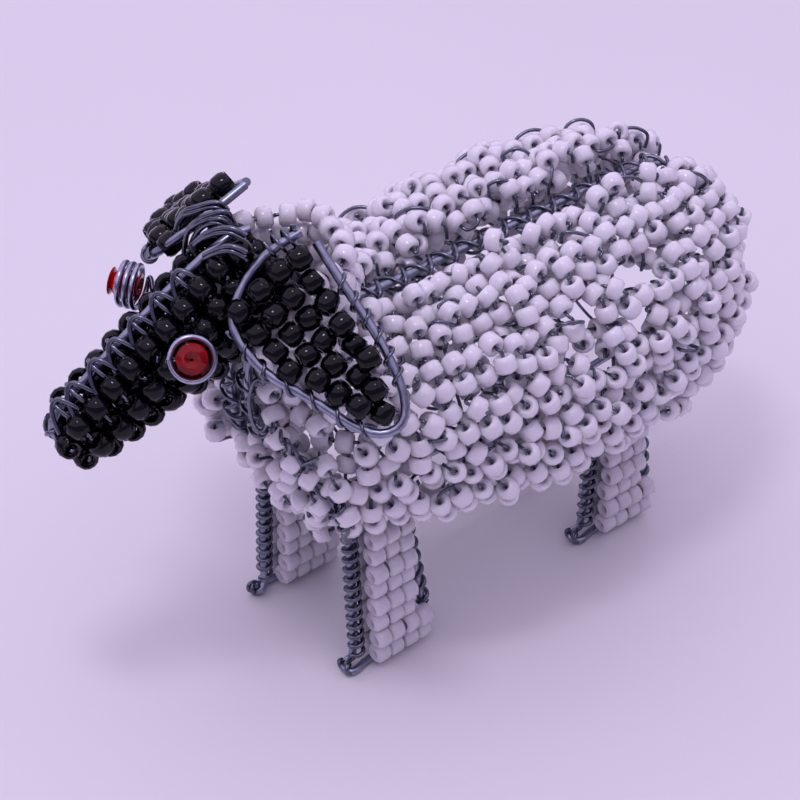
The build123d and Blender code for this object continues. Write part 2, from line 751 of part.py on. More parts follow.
# The middle of the whole sheep goes over the origin
boxes = [part.bounding_box() for part in drawn.values()]
middle_x = (min(box.min.X for box in boxes) + max(box.max.X for box in boxes)) / 2
middle_y = (min(box.min.Y for box in boxes) + max(box.max.Y for box in boxes)) / 2
for name, part in drawn.items():
    part.label = name
    export_step(Location((-middle_x, -middle_y, 0)) * part, f"parts/{name}.step")
print("Moved by", round(-middle_x, 3), round(-middle_y, 3))
print("Lowest", round(min(box.min.Z for box in boxes), 4))
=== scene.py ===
import math
import random
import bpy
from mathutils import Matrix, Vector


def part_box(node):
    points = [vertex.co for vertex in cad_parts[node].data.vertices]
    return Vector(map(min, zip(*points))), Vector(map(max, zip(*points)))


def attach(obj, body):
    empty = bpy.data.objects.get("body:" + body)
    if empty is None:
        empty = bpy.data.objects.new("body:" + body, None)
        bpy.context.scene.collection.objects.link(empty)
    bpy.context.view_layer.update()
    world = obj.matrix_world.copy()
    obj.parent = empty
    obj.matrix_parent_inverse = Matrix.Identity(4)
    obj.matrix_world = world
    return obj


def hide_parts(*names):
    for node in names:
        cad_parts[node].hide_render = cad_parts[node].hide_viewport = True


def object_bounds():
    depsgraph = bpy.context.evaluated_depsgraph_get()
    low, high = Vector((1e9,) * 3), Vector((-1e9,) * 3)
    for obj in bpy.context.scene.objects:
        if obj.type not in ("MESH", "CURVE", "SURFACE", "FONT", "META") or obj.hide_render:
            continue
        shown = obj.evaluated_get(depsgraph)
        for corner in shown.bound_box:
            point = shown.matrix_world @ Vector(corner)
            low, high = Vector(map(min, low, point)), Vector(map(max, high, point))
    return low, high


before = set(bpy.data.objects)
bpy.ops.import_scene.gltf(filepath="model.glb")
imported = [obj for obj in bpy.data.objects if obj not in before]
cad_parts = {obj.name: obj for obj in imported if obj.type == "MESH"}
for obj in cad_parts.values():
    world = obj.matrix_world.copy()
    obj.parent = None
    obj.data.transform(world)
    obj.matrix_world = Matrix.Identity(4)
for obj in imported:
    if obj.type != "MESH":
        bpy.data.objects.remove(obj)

from types import SimpleNamespace

import bpy
import numpy as np
from bpy.props import FloatProperty, FloatVectorProperty, IntProperty, PointerProperty
from mathutils import Matrix, Vector

bl_info = {
    "name": "Beaded Wire Sheep",
    "version": (1, 0, 0),
    "blender": (4, 5, 0),
    "location": "3D View > Sidebar > Sheep",
    "description": "Dresses the frame of a sheep with glass beads, wires and a soft studio",
    "category": "Object",
}

MM = 0.001
# The sheep's own frame has its front toes at y = 0; this moves it over the model's origin
MIDDLE = np.array([0.937, -22.352, 0.0])
BOX = np.array(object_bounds())

# Sizes of the beads and the wires in millimetres, and the steps of one turn of thin wire
BEAD_DIAMETER = 3.2
BEAD_LENGTH = 2.5
BEAD_BORE = 1.0
FRAME_WIRE = 1.25
BINDING_WIRE = 0.5
SEAT_GAP = 0.2
TURN_STEPS = 8
WELD = 1e-6

FLEECE = ["left_shoulder_fleece", "right_shoulder_fleece", "left_flank_fleece",
          "right_flank_fleece", "left_haunch_fleece", "right_haunch_fleece", "neck_fleece"]
LEG_STRIDE = 45.8
LEG_LEAN = 2.0
# Each leg's side, the place of its toes along the sheep and how far its top leans back
LEGS = {"front_left": (1, 0.0, 0.0), "front_right": (-1, 0.0, 0.0),
        "rear_left": (1, LEG_STRIDE, LEG_LEAN), "rear_right": (-1, LEG_STRIDE, LEG_LEAN)}
SIDES = {"left": 1, "right": -1}


# Sizes and colours that a user would change
class SheepSizes(bpy.types.PropertyGroup):
    bead_diameter: FloatProperty(
        name="Bead diameter", description="Diameter of a seed bead",
        default=BEAD_DIAMETER * MM, min=1.0 * MM, max=6.0 * MM, unit="LENGTH", precision=4)
    bead_length: FloatProperty(
        name="Bead length", description="Length of a seed bead along its hole",
        default=BEAD_LENGTH * MM, min=1.0 * MM, max=6.0 * MM, unit="LENGTH", precision=4)
    bead_steps: IntProperty(
        name="Bead steps", description="Steps round a bead", default=12, min=6, max=24)
    frame_wire: FloatProperty(
        name="Frame wire", description="Diameter of the heavy wire",
        default=FRAME_WIRE * MM, min=0.5 * MM, max=3.0 * MM, unit="LENGTH", precision=5)
    binding_wire: FloatProperty(
        name="Binding wire", description="Diameter of the thin wire",
        default=BINDING_WIRE * MM, min=0.2 * MM, max=1.5 * MM, unit="LENGTH", precision=4)


class SheepColours(bpy.types.PropertyGroup):
    white_glass: FloatVectorProperty(
        name="White glass", description="Colour of the fleece beads", subtype="COLOR",
        default=(0.82, 0.80, 0.84), min=0.0, max=1.0)
    black_glass: FloatVectorProperty(
        name="Black glass", description="Colour of the head beads", subtype="COLOR",
        default=(0.002, 0.002, 0.004), min=0.0, max=1.0)
    red_glass: FloatVectorProperty(
        name="Red glass", description="Colour of the eye beads", subtype="COLOR",
        default=(0.55, 0.0, 0.005), min=0.0, max=1.0)
    wire: FloatVectorProperty(
        name="Wire", description="Colour of the galvanised wire", subtype="COLOR",
        default=(0.29, 0.31, 0.39), min=0.0, max=1.0)
    floor: FloatVectorProperty(
        name="Floor", description="Colour of the floor and the backdrop", subtype="COLOR",
        default=(0.80, 0.79, 0.80), min=0.0, max=1.0)


# The panel's lengths in millimetres
def sizes():
    group = bpy.context.scene.sheep_sizes
    lengths = {name: getattr(group, name) / MM
               for name in ("bead_diameter", "bead_length", "frame_wire", "binding_wire")}
    return SimpleNamespace(bead_steps=group.bead_steps, **lengths)


def colours():
    return bpy.context.scene.sheep_colours


def unit(v):
    return np.asarray(v, float) / np.linalg.norm(v)


def deselect():
    bpy.ops.object.select_all(action="DESELECT")


def place(points):
    return (np.asarray(points, float) + MIDDLE) * MM


# Materials
def shader(name, colour, roughness):
    material = bpy.data.materials.get(name)
    if material:
        return material, None, None, None
    material = bpy.data.materials.new(name)
    material.use_nodes = True
    nodes, links = material.node_tree.nodes, material.node_tree.links
    principled = nodes["Principled BSDF"]
    principled.inputs["Base Color"].default_value = (*colour, 1)
    principled.inputs["Roughness"].default_value = roughness
    return material, principled, nodes, links


# Colour that drifts a little over the object, in object coordinates
def mottle(principled, nodes, links, colour, darker, scale):
    coordinates = nodes.new("ShaderNodeTexCoord")
    noise = nodes.new("ShaderNodeTexNoise")
    noise.inputs["Scale"].default_value = scale
    noise.inputs["Detail"].default_value = 3
    ramp = nodes.new("ShaderNodeValToRGB")
    ramp.color_ramp.elements[0].position = 0.35
    ramp.color_ramp.elements[1].position = 0.65
    ramp.color_ramp.elements[0].color = (*[part * darker for part in colour], 1)
    ramp.color_ramp.elements[1].color = (*colour, 1)
    links.new(coordinates.outputs["Object"], noise.inputs["Vector"])
    links.new(noise.outputs["Fac"], ramp.inputs["Fac"])
    links.new(ramp.outputs["Color"], principled.inputs["Base Color"])
    return noise


# share scales the white glass colour; the leg beads' copy at 0.84 is painted shade
def white_glass(name="white_glass", share=1.0):
    colour = [part * share for part in colours().white_glass]
    material, principled, nodes, links = shader(name, colour, 0.22)
    if principled:
        mottle(principled, nodes, links, colour, 0.93, 260)
        principled.inputs["Subsurface Weight"].default_value = 0.6
        principled.inputs["Subsurface Radius"].default_value = (1.0, 0.9, 1.1)
        principled.inputs["Subsurface Scale"].default_value = 0.0013
        principled.inputs["Coat Weight"].default_value = 0.3
        principled.inputs["Coat Roughness"].default_value = 0.05
    return material


def black_glass():
    material, principled, nodes, links = shader("black_glass", colours().black_glass, 0.04)
    if principled:
        mottle(principled, nodes, links, colours().black_glass, 0.6, 200)
        principled.inputs["Specular IOR Level"].default_value = 0.26
    return material


def red_glass():
    material, principled, nodes, links = shader("red_glass", colours().red_glass, 0.05)
    if principled:
        mottle(principled, nodes, links, colours().red_glass, 0.55, 500)
        principled.inputs["Transmission Weight"].default_value = 0.25
        principled.inputs["Specular IOR Level"].default_value = 0.15
        principled.inputs["IOR"].default_value = 1.52
    return material


def wire_metal(name, share, smooth=0.16, dull=0.30):
    colour = [part * share for part in colours().wire]
    material, principled, nodes, links = shader(name, colour, 0.3)
    if principled:
        noise = mottle(principled, nodes, links, colour, 0.72, 900)
        principled.inputs["Metallic"].default_value = 1.0
        rough = nodes.new("ShaderNodeMapRange")
        rough.inputs["To Min"].default_value = smooth
        rough.inputs["To Max"].default_value = dull
        links.new(noise.outputs["Fac"], rough.inputs["Value"])
        links.new(rough.outputs["Result"], principled.inputs["Roughness"])
    return material


def heavy_metal():
    return wire_metal("wire_metal", 1.15, 0.22, 0.38)


def thin_metal():
    return wire_metal("binding_metal", 0.62)


def thread_metal():
    return wire_metal("thread_metal", 0.6)


def finish_piece(piece, material, slot, *nodes):
    piece.data.materials.clear()
    piece.data.materials.append(material)
    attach(piece, "root")
    if nodes:
        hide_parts(*nodes)


# Where each bead of a CAD node is: its centre, its hole's direction and one corner's
def bead_places(node):
    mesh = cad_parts[node].data
    points = np.array([vertex.co for vertex in mesh.vertices]) / MM
    keys = {}
    index = [keys.setdefault(tuple(np.round(point, 3)), len(keys)) for point in points]
    corners = np.array(list(keys))
    group = list(range(len(corners)))

    def root(k):
        while group[k] != k:
            group[k] = group[group[k]]
            k = group[k]
        return k

    for edge in mesh.edges:
        one, two = (root(index[k]) for k in edge.vertices)
        group[two] = one
    islands = {}
    for k in range(len(corners)):
        islands.setdefault(root(k), []).append(corners[k])
    places = []
    for island in islands.values():
        island = np.array(island)
        # By distance from one corner, those of its own end come first, second, third and sixth
        order = np.argsort(np.linalg.norm(island - island[0], axis=1))
        cap = order[[0, 1, 2, 5]]
        other = order[[3, 4, 6, 7]]
        centre = island.mean(axis=0)
        along = unit(island[other].mean(axis=0) - island[cap].mean(axis=0))
        across = unit(island[0] - island[cap].mean(axis=0))
        places.append((centre, along, across))
    return places


# One bead: the section of its wall, with its corners cut, spun about the hole
def model_bead(name, diameter, length, bore, steps, corner, segments=1):
    deselect()
    wall = (diameter - bore) / 2
    bpy.ops.mesh.primitive_plane_add(size=MM, location=(0, 0, 0))
    bead = bpy.context.object
    bead.name = name
    bpy.ops.object.mode_set(mode="EDIT")
    bpy.ops.mesh.select_all(action="SELECT")
    bpy.ops.transform.resize(value=(wall, length, 1), center_override=(0, 0, 0))
    bpy.ops.object.mode_set(mode="OBJECT")
    for vertex in bead.data.vertices:
        vertex.select = vertex.co.x > 0
    bpy.ops.object.mode_set(mode="EDIT")
    bpy.ops.mesh.bevel(offset=corner * MM, segments=segments, affect="VERTICES")
    bpy.ops.mesh.select_all(action="SELECT")
    bpy.ops.mesh.delete(type="ONLY_FACE")
    bpy.ops.mesh.select_all(action="SELECT")
    bpy.ops.transform.translate(value=((diameter + bore) / 4 * MM, 0, 0))
    bpy.ops.transform.rotate(value=math.radians(90), orient_axis="X", center_override=(0, 0, 0))
    bpy.ops.object.mode_set(mode="OBJECT")
    lathe = bead.modifiers.new("lathe", "SCREW")
    lathe.axis = "Z"
    lathe.steps = steps
    lathe.render_steps = steps
    lathe.use_merge_vertices = True
    lathe.merge_threshold = WELD
    bpy.ops.object.modifier_apply(modifier="lathe")
    bpy.ops.object.mode_set(mode="EDIT")
    bpy.ops.mesh.select_all(action="SELECT")
    bpy.ops.mesh.remove_doubles(threshold=WELD)
    bpy.ops.mesh.normals_make_consistent(inside=False)
    bpy.ops.object.mode_set(mode="OBJECT")
    bpy.ops.object.shade_smooth()
    return bead


# Places with the small shifts and tilts of beads strung by hand
def loosened(places, chance, shift=0.1, tilt=0.1):
    loose = []
    for centre, along, across in places:
        moved = centre + np.array([chance.gauss(0, shift) for _ in range(3)])
        turned = unit(along + np.array([chance.gauss(0, tilt) for _ in range(3)]))
        loose.append((moved, turned, across))
    return loose


# Copies of the bead at the places, each kept inside the frame's box, joined into one piece
def string_beads(node, places, material, slot, chance, spread_share=0.05, longer=1.0, wider=1.0,
                 corner=0.45, segments=1):
    if not places:
        raise RuntimeError(f"{node} has no places for beads")
    shape = sizes()
    bead = model_bead(node + "_shape", shape.bead_diameter, shape.bead_length, BEAD_BORE,
                      shape.bead_steps, corner, segments)
    copies = []
    for centre, along, across in places:
        copy = bead.copy()
        copy.data = bead.data.copy()
        across = unit(across - along * np.dot(across, along))
        turn = Matrix(np.stack([across, np.cross(along, across), along], axis=1).tolist())
        wide = wider * (1.03 - chance.uniform(0, spread_share))
        deep = longer * (1.02 - chance.uniform(0, 2 * spread_share))
        copy.data.transform(Matrix.Diagonal((wide, wide, deep, 1)))
        copy.data.transform(turn.to_4x4())
        copy.data.transform(Matrix.Translation((Vector(centre) * MM)))
        spots = np.array([vertex.co for vertex in copy.data.vertices])
        below = np.maximum(BOX[0] - spots.min(axis=0), 0)
        above = np.maximum(spots.max(axis=0) - BOX[1], 0)
        copy.data.transform(Matrix.Translation(Vector(below - above)))
        bpy.context.collection.objects.link(copy)
        copies.append(copy)
    bpy.data.objects.remove(bead)
    deselect()
    for copy in copies:
        copy.select_set(True)
    piece = copies[0]
    bpy.context.view_layer.objects.active = piece
    bpy.ops.object.join()
    piece.name = node + "_glass"
    finish_piece(piece, material, slot, *(node,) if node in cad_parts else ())


# Round wire through the runs of points in millimetres, which are the model's own where placed
def lay_wire(name, runs, diameter, material, slot, *nodes, fine=2, placed=False):
    if not runs:
        raise RuntimeError(f"{name} has no route")
    deselect()
    bpy.ops.curve.primitive_nurbs_path_add(location=(0, 0, 0))
    wire = bpy.context.object
    wire.name = name
    curve = wire.data
    curve.splines.clear()
    reach = diameter / 2 * MM
    for run in runs:
        points = np.asarray(run, float) * MM if placed else place(run)
        points = np.clip(points, BOX[0] + reach, BOX[1] - reach)
        spline = curve.splines.new("NURBS")
        spline.points.add(len(points) - 1)
        for point, at in zip(spline.points, points):
            point.co = (*at, 1)
        spline.use_endpoint_u = True
        spline.order_u = min(3, len(points))
        spline.resolution_u = 3
    curve.resolution_u = 3
    curve.bevel_depth = reach
    curve.bevel_resolution = fine
    curve.use_fill_caps = True
    curve.dimensions = "3D"
    finish_piece(wire, material, slot, *nodes)


def spread(route, count, start, end):
    route = np.array(route, float)
    lengths = np.linalg.norm(np.diff(route, axis=0), axis=1)
    reach = np.concatenate([[0], np.cumsum(lengths)])
    at = reach[-1] * np.linspace(start, end, count)
    return np.stack([np.interp(at, reach, route[:, k]) for k in range(3)], axis=1)


def wound(route, turns, side, start, end, radius, turn_shift=0.0, hand=1, oval=1.0):
    count = int(turns * TURN_STEPS) + 1
    centres = spread(route, count, start, end)
    ways = np.gradient(centres, axis=0)
    path = []
    for k, (centre, way) in enumerate(zip(centres, ways)):
        first = unit(np.cross(unit(way), side))
        second = np.cross(unit(way), first)
        angle = 2 * math.pi * (hand * k / TURN_STEPS + turn_shift)
        path.append(centre + radius * (math.cos(angle) * first + oval * math.sin(angle) * second))
    return path


# Routes of the wires, as in the construction
station_shares = [0.0, 0.03, 0.08, 0.16, 0.27, 0.42, 0.57, 0.73, 0.86, 0.94, 0.98, 1.0]
width_shares = [0.16, 0.46, 0.64, 0.78, 0.91, 0.98, 1.0, 0.98, 0.84, 0.60, 0.36, 0.10]
top_shares = [0.78, 0.86, 0.93, 0.97, 0.98, 1.0, 1.015, 1.025, 1.0, 0.94, 0.87, 0.78]
low_shares = [1.75, 1.50, 1.36, 1.27, 1.20, 1.12, 1.06, 1.06, 1.20, 1.48, 1.75, 1.98]
squareness_share = 0.84
body_size = (48.0, 87.0, 57.5, 18.5)
chest_y = -10.0
spine_shares = [(0, 0.053, 1.115), (0, 0.103, 1.02), (0, 0.171, 0.972), (0, 0.274, 0.955),
                (0, 0.571, 0.964), (0, 0.869, 0.970), (0, 0.937, 0.925)]
tail_shares = [(0.01, 0.9435, 0.9185), (0.06, 0.992, 0.835), (0.142, 1.024, 0.730),
               (0.158, 1.031, 0.626), (0.133, 1.019, 0.522), (0.06, 0.972, 0.438)]
belly_shares = [(0.04, 0.955, 0.420), (0, 0.869, 0.391), (0, 0.571, 0.358), (0, 0.274, 0.375),
                (0, 0.137, 0.437), (0, 0.069, 0.539), (0, 0.027, 0.66)]
chest_shares = [(0.07, 0.005, 0.985), (0.085, -0.008, 0.887), (0.11, 0.004, 0.765),
                (0.25, 0.036, 0.704), (0.333, 0.058, 0.625), (0.39, 0.098, 0.487)]
tie_shares = {"shoulder": 0.265, "flank": 0.39, "loin": 0.565, "rump": 0.845}
tie_inset = 2.3
tie_points = 25
# Each hole's place along and round the body, and its reach in beads
hole_shares = [(0.655, 0.82, 1.0), (0.615, 0.83, 0.9), (0.517, 0.89, 0.75), (0.506, 1.29, 0.85),
               (0.569, 0.39, 0.6), (0.621, 1.25, 0.6), (0.075, 1.17, 1.0)]
ear_loop_shares = [
    (-0.04, 1.20), (-0.10, 0.45), (-0.06, -0.31), (0.02, -0.93), (0.16, -1.11), (0.34, -1.15),
    (0.48, -1.00), (0.63, -0.84), (0.80, -0.72), (0.97, -0.48), (1.02, 0.0), (0.92, 0.42),
    (0.64, 0.82), (0.22, 1.10), (0.05, 1.26)]
ear_shares = {1: (0.689, -0.452, -0.566), -1: (-0.80, -0.24, -0.44)}
ear_roots = {1: (6.0, 5.5, 8.2, 0.0), -1: (6.0, 1.8, -9.2, 1.5)}
ear_length = 25.0
ear_width = 13.5
ear_lift = 5.2
ear_set = 1.6
poll = np.array([-1.0, -11.0, 73.5])
head_length = 30.6
head_core = 6.0
nose_radius = 4.2
brow_radius = 6.4
ridge_proud = 0.9
eye_shares = {"left": (0.783, 0.305, 0.541), "right": (-0.65, 0.75, 0.1)}
eye_diameter = 4.2
eye_length = 3.8
eye_bore = 0.02
eye_corner = 1.88
eye_steps = 24
coil_turns = 3
coil_steps = 12
coil_radius = 2.9
coil_pitch = 0.95
coil_back = 0.8
leg_spacing = 22.8
leg_height = 25.0
leg_draw = 1.5
foot_length = 13.6
leg_taper = 3.4
toe_loop = 2.2
# The line inside the body that threads and inner beads turn towards
core_start = 2.0
core_end = 66.0
core_height = 38.0

yaw, dip = math.radians(14.0), math.radians(40.0)
left_way = np.array([math.cos(yaw), -math.sin(yaw), 0])
fore_way = np.array([-math.sin(yaw), -math.cos(yaw), 0])
up_way = np.array([0, 0, 1.0])
nose_way = math.cos(dip) * fore_way - math.sin(dip) * up_way
crown_way = math.sin(dip) * fore_way + math.cos(dip) * up_way


def head_point(along, depth, side):
    return poll + along * nose_way - depth * crown_way + side * left_way


def body_route(shares, side=1):
    half = np.array([side * body_size[0] / 2, body_size[1], body_size[2]])
    return [np.array(share) * half + (0, chest_y, 0) for share in shares]


def body_point(y, turn):
    share = (y - chest_y) / body_size[1]
    half_width = body_size[0] / 2 * np.interp(share, station_shares, width_shares)
    top = body_size[2] * np.interp(share, station_shares, top_shares)
    low = body_size[3] * np.interp(share, station_shares, low_shares)
    sine, cosine = math.sin(turn), math.cos(turn)
    x = half_width * math.copysign(abs(sine) ** squareness_share, sine)
    z = (top + low) / 2 + (top - low) / 2 * math.copysign(abs(cosine) ** squareness_share, cosine)
    return np.array([x, y, z])


def tie_route(y_share):
    y = chest_y + y_share * body_size[1]
    spine, belly = np.array(body_route(spine_shares)), np.array(body_route(belly_shares)[::-1])
    reach = FRAME_WIRE / 2 + BINDING_WIRE / 2 + SEAT_GAP
    top, bottom = body_point(y, 0), body_point(y, math.pi)
    middle = (top + bottom) / 2
    top_inset = top[2] - np.interp(y, spine[:, 1], spine[:, 2]) + reach
    bottom_inset = np.interp(y, belly[:, 1], belly[:, 2]) + reach - bottom[2]
    insets = [top_inset, tie_inset, tie_inset, bottom_inset]
    path = []
    for turn in np.linspace(0.1, 2 * math.pi - 0.1, tie_points):
        signed = turn if turn <= math.pi else turn - 2 * math.pi
        inset = np.interp(abs(signed), [0, 0.7, 2.4, math.pi], insets)
        point = body_point(y, signed)
        path.append(point - unit(point - middle) * inset)
    return path


def ear_ways(side):
    ahead_left, ahead, rise = ear_shares[side]
    out = unit(ahead_left * left_way + ahead * fore_way + rise * up_way)
    back = side * 0.036 * left_way - 0.882 * fore_way + 0.469 * up_way
    return out, unit(back - out * np.dot(out, back))


def ear_point(side, along, across):
    out, back = ear_ways(side)
    reach, depth, aside, draw = ear_roots[side]
    rise = across * ear_width / 2 + ear_lift - draw
    return head_point(reach, depth, aside) + (along * ear_length - ear_set) * out + rise * back


def leg_edge(side, toe_y, lean, height):
    share = height / leg_height
    x = side * (leg_spacing / 2 - leg_draw * share)
    return x, toe_y + lean * share, foot_length - leg_taper * share


def leg_routes(side, toe_y, lean):
    low = FRAME_WIRE / 2
    high = leg_height + 2 * FRAME_WIRE
    radius = toe_loop / 2
    x, y, width = leg_edge(side, toe_y, lean, high)
    front = [(x, y, high)]
    rear = [(x, y + width, leg_height)]
    x, y, width = leg_edge(side, toe_y, lean, toe_loop)
    front.append((x, y, toe_loop))
    loop = [(x - side * radius * math.cos(math.pi * step / 4),
             toe_y - radius - radius * math.sin(math.pi * step / 4),
             low + (FRAME_WIRE / 2 if step == 0 else 0)) for step in range(5)]
    sole = [(x + side * radius / 4, toe_y + FRAME_WIRE, low), (x, toe_y + width - FRAME_WIRE, low)]
    heel = [(x, toe_y + width, toe_loop)]
    return front, front + loop + sole + heel + rear


def ridge_route():
    end, deep, wire = head_length, nose_radius, FRAME_WIRE
    points = [(-2 * wire, 2 * wire), (-wire, 0), (end + wire / 2, 0),
              (end + 3.0 * wire, 0.45 * deep), (end + 3.1 * wire, 1.4 * deep),
              (end + 2.2 * wire, 1.85 * deep)]
    return [head_point(along, depth, 0) for along, depth in points]


def jaw_route():
    inner = BEAD_DIAMETER / 2 + FRAME_WIRE / 2 + SEAT_GAP
    points = [(3 * FRAME_WIRE, 2 * brow_radius), (head_length / 4, 2 * brow_radius),
              (head_length, 2 * nose_radius)]
    return [head_point(along, ridge_proud + deep - inner, 0) for along, deep in points]


# Threads: short thin wires that join the mouths of neighbouring beads, and tails that turn inwards
def thread_runs(places, chance, inwards=None, longest=3.0):
    half = sizes().bead_length / 2
    mouths = []
    for bead, (centre, along, _) in enumerate(places):
        for way in (1, -1):
            mouths.append((bead, centre + along * half * way, along * way))
    spots = np.array([mouth[1] for mouth in mouths])
    ways = np.array([mouth[2] for mouth in mouths])
    owner = np.array([mouth[0] for mouth in mouths])
    pairs = []
    for k in range(len(mouths)):
        gaps = spots[k + 1:] - spots[k]
        distance = np.linalg.norm(gaps, axis=1)
        for j in np.flatnonzero((distance < longest) & (owner[k + 1:] != owner[k])):
            other = k + 1 + j
            facing = -np.dot(ways[k], ways[other])
            ahead = np.dot(gaps[j], ways[k]) - np.dot(gaps[j], ways[other])
            if ahead > -0.6:
                pairs.append((distance[j] - 0.6 * facing, k, other))
    used, runs = set(), []
    for _, one, two in sorted(pairs):
        if one in used or two in used:
            continue
        used.update((one, two))
        bulge = 0.35 * np.linalg.norm(spots[two] - spots[one]) + 0.15
        runs.append([spots[one] - ways[one] * half, spots[one], spots[one] + ways[one] * bulge,
                     spots[two] + ways[two] * bulge, spots[two], spots[two] - ways[two] * half])
    for k in range(len(mouths)):
        if k in used:
            continue
        inner = ways[k] if inwards is None else unit(inwards(spots[k]))
        reach = chance.uniform(1.2, 2.4) if inwards else 1.1
        runs.append([spots[k] - ways[k] * half, spots[k], spots[k] + ways[k] * 0.5 + inner * 0.3,
                     spots[k] + ways[k] * 0.4 + inner * reach])
    return runs


def body_inwards(spot):
    spot = spot - MIDDLE
    y = min(max(spot[1], core_start), core_end)
    return np.array([0, y, core_height]) - spot


# Loops of thin wire that stand proud of the fleece: each one's place along and round the body
proud_shares = [(0.42, -0.25), (0.64, -0.66), (0.57, -0.10), (0.66, -0.30), (0.85, -0.56),
                (0.89, -0.20), (0.39, -0.77), (0.28, 0.53), (0.58, 0.41), (0.88, 0.40),
                (0.74, 0.24), (0.47, 0.90), (0.30, -0.45), (0.76, -0.62), (0.20, 1.35), (0.70, 1.5)]


def proud_loops(chance):
    runs = []
    for share, turn in proud_shares:
        middle = body_point(chest_y + share * body_size[1], turn)
        out = -unit(body_inwards(middle + MIDDLE))
        way = np.array([0.64, 0.77, chance.uniform(-0.25, 0.25)])
        way = unit(way - out * np.dot(way, out))
        wide, rise = chance.uniform(1.8, 2.7), chance.uniform(1.9, 2.7)
        runs.append([middle + ahead * wide * way + height * out + MIDDLE for ahead, height in
                     ((-0.7, -0.6), (-1.0, 1.0), (-0.9, rise), (0.1, rise + 0.5), (0.9, rise - 0.4),
                      (1.1, 0.8), (0.8, -0.6))])
    return runs


def head_inwards(spot):
    spot = spot - MIDDLE
    along = np.dot(spot - head_point(0, head_core, 0), nose_way)
    return head_point(min(max(along, 0), head_length), head_core, 0) - spot


# Behind each ring of the head, a small arch over the ridge wire and a strand that crosses it
def ridge_loops():
    arch = [(-0.9, 0.8, 2.3), (-0.7, -0.8, 1.85), (-0.3, -1.5, 1.1), (0.3, -1.6, 0.6),
            (1.2, -1.4, 0.7), (1.95, -0.8, 1.1), (2.7, 0.1, 1.8), (3.2, 1.2, 2.5)]
    strand = [(1.3, 0.9, -1.6), (1.1, -0.6, -1.2), (0.9, -1.35, -0.2), (0.85, -1.1, 1.0),
              (0.8, -0.2, 1.9), (0.75, 1.0, 2.4), (0.8, 2.2, 2.6)]
    return [[head_point(along + ahead, depth, aside) for ahead, depth, aside in points]
            for along in (7.0, 11.0, 15.1, 19.1, 22.7, 26.9, 29.8) for points in (arch, strand)]


# Arcs of thin wire between the root of the right ear and the crown
def crown_arcs():
    arcs = [[(5.3, 1.5, -5.5), (3.2, -0.5, -5.6), (0.6, -2.0, -2.9), (-1.7, -1.9, -1.3),
             (-2.8, -0.9, -0.5), (-1.9, 1.0, -0.8)],
            [(4.3, 1.5, -5.3), (2.0, -0.5, -3.8), (0.0, -1.5, -2.2), (-1.6, -1.5, -0.2),
             (-1.5, 0.5, -0.3)],
            [(4.8, 1.0, -4.1), (2.2, -1.0, -1.7), (-0.4, -2.0, 1.3), (-2.0, -1.5, 2.9),
             (-2.3, 0.2, 3.8)],
            [(4.1, 0.5, -0.3), (1.3, -1.3, 3.2), (-0.6, -1.3, 5.1), (-0.9, 0.5, 5.8)],
            [(4.0, 0.0, -8.2), (2.3, -1.5, -7.6), (0.3, -2.3, -4.9), (-1.8, -1.8, -3.7),
             (-2.8, -1.0, -2.7), (-2.4, 0.5, -3.1)]]
    return [[head_point(along + 0.6 * twin, depth + 0.35 * twin, aside)
             for along, depth, aside in arc] for arc in arcs for twin in (0, 1)]


# The left chest wire's long loop below the throat, and its twisted end over the breast beads
breast_route = [(6.7, -9.9, 46.8), (9.9, -10.4, 46.3), (10.4, -8.9, 43.3), (11.4, -8.3, 42.6),
                (11.9, -7.3, 37.8), (14.3, -5.8, 36.2), (15.2, -5.3, 34.9), (15.4, -4.8, 31.2),
                (13.0, -3.0, 27.5), (10.9, -0.9, 24.5)]


def chest_strands():
    oval = [np.array([4.2, -10.2, 48.4 + 0.05 * k]) + 4.3 * math.cos(math.pi * k / 6) * up_way
            + 1.3 * math.sin(math.pi * k / 6) * np.array([0.64, 0.77, 0]) for k in range(15)]
    strands = [oval] + [wound(breast_route, 7, fore_way, 0.0, 1.0, 0.42, turn_shift=shift)
                        for shift in (0.0, 0.5)]
    strands.append(wound(breast_route[5:8], 3, fore_way, 0.1, 0.9, 0.95))
    strands.append([(13.1, -7.4, 43.9), (11.9, -8.5, 43.0), (10.6, -8.9, 41.6), (9.0, -8.6, 38.4)])
    strands.append([(9.6, -8.8, 43.5), (11.0, -9.0, 42.8), (12.6, -7.4, 41.8), (13.2, -6.2, 41.6)])
    return strands


# Loose places at least a gap away from those taken
def filled(taken, chance, tries, gap, choose):
    taken, found = list(taken), []
    for _ in range(tries):
        spot = choose()
        if spot is None:
            continue
        spot = spot + MIDDLE
        if np.linalg.norm(np.array(taken) - spot, axis=1).min() < gap:
            continue
        along = unit([chance.gauss(0, 1) for _ in range(3)])
        taken.append(spot)
        found.append((spot, along, unit(np.cross(along, (0.3, 0.5, 0.8)))))
    return found


# Beads of the curls' inner ends, in the room that the outer ones leave
inner_tries = 9000
inner_gap = 2.85
parting_height = 46
belly_height = 19.5


def inner_places(places, chance):
    holes = [(body_point(chest_y + share * body_size[1], turn), beads * BEAD_DIAMETER)
             for share, turn, beads in hole_shares]

    def choose():
        y = chance.uniform(-6, 74)
        turn = chance.choice((-1, 1)) * chance.uniform(0.12, 2.5)
        point = body_point(y, turn)
        centre = point + unit(body_inwards(point + MIDDLE)) * chance.uniform(1.2, 3.4)
        parting = abs(centre[0]) < BEAD_DIAMETER and centre[2] > parting_height
        if parting or centre[2] < belly_height:
            return None
        if any(np.linalg.norm(point - middle) < reach for middle, reach in holes):
            return None
        return centre

    return filled([centre for centre, _, _ in places], chance, inner_tries, inner_gap, choose)


